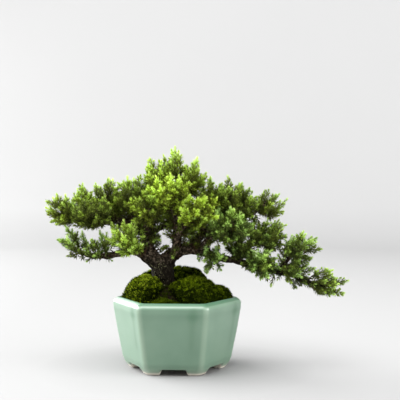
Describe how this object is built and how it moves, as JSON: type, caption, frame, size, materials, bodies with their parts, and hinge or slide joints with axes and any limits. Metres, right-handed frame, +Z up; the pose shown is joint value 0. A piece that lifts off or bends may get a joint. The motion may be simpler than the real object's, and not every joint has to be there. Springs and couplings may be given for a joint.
{
  "type": "bonsai tree in a pot",
  "caption": "Low, wide juniper bonsai with a leaning trunk and long side limbs, set in moss in a six-sided glazed pot on corner feet.",
  "frame": {"origin": "centre of the whole object's outline, seen from above, on the surface that the feet stand on", "axes": "+Z up; +X along the tree's long side, towards the drooping limb's tip; the tree's front faces -Y"},
  "size_m": [0.2782, 0.117, 0.2029],
  "materials": {
    "celadon_glaze": "gloss",
    "soil": "matte",
    "screen_plastic": "matte",
    "clip_wire": "satin",
    "bark": "matte",
    "moss": "matte",
    "needles": "satin"
  },
  "bodies": {
    "root": {"drain_screen": "screen_plastic", "foliage_back_centre": "needles", "foliage_back_left": "needles", "foliage_back_right": "needles", "foliage_core": "needles", "foliage_crown_front": "needles", "foliage_crown_left": "needles", "foliage_crown_right": "needles", "foliage_crown_top": "needles", "foliage_far_lower": "needles", "foliage_far_upper": "needles", "foliage_front_left": "needles", "foliage_front_right": "needles", "foliage_left_front": "needles", "foliage_left_inner": "needles", "foliage_left_middle": "needles", "foliage_left_outer": "needles", "foliage_left_spray": "needles", "foliage_left_tip": "needles", "foliage_left_under": "needles", "foliage_low_left_inner": "needles", "foliage_low_left_outer": "needles", "foliage_low_right": "needles", "foliage_right_core": "needles", "foliage_right_end": "needles", "foliage_right_front": "needles", "foliage_right_inner": "needles", "foliage_right_lower": "needles", "foliage_right_outer": "needles", "foliage_right_peak": "needles", "foliage_right_upper": "needles", "foliage_shoulder": "needles", "foliage_sprig": "needles", "moss_back_left": "moss", "moss_back_right": "moss", "moss_far_right": "moss", "moss_front_centre": "moss", "moss_front_left": "moss", "moss_front_right": "moss", "pot": "celadon_glaze", "root_ball_soil": "soil", "screen_clip": "clip_wire", "trunk_and_limbs": "bark"}
  },
  "joints": []
}
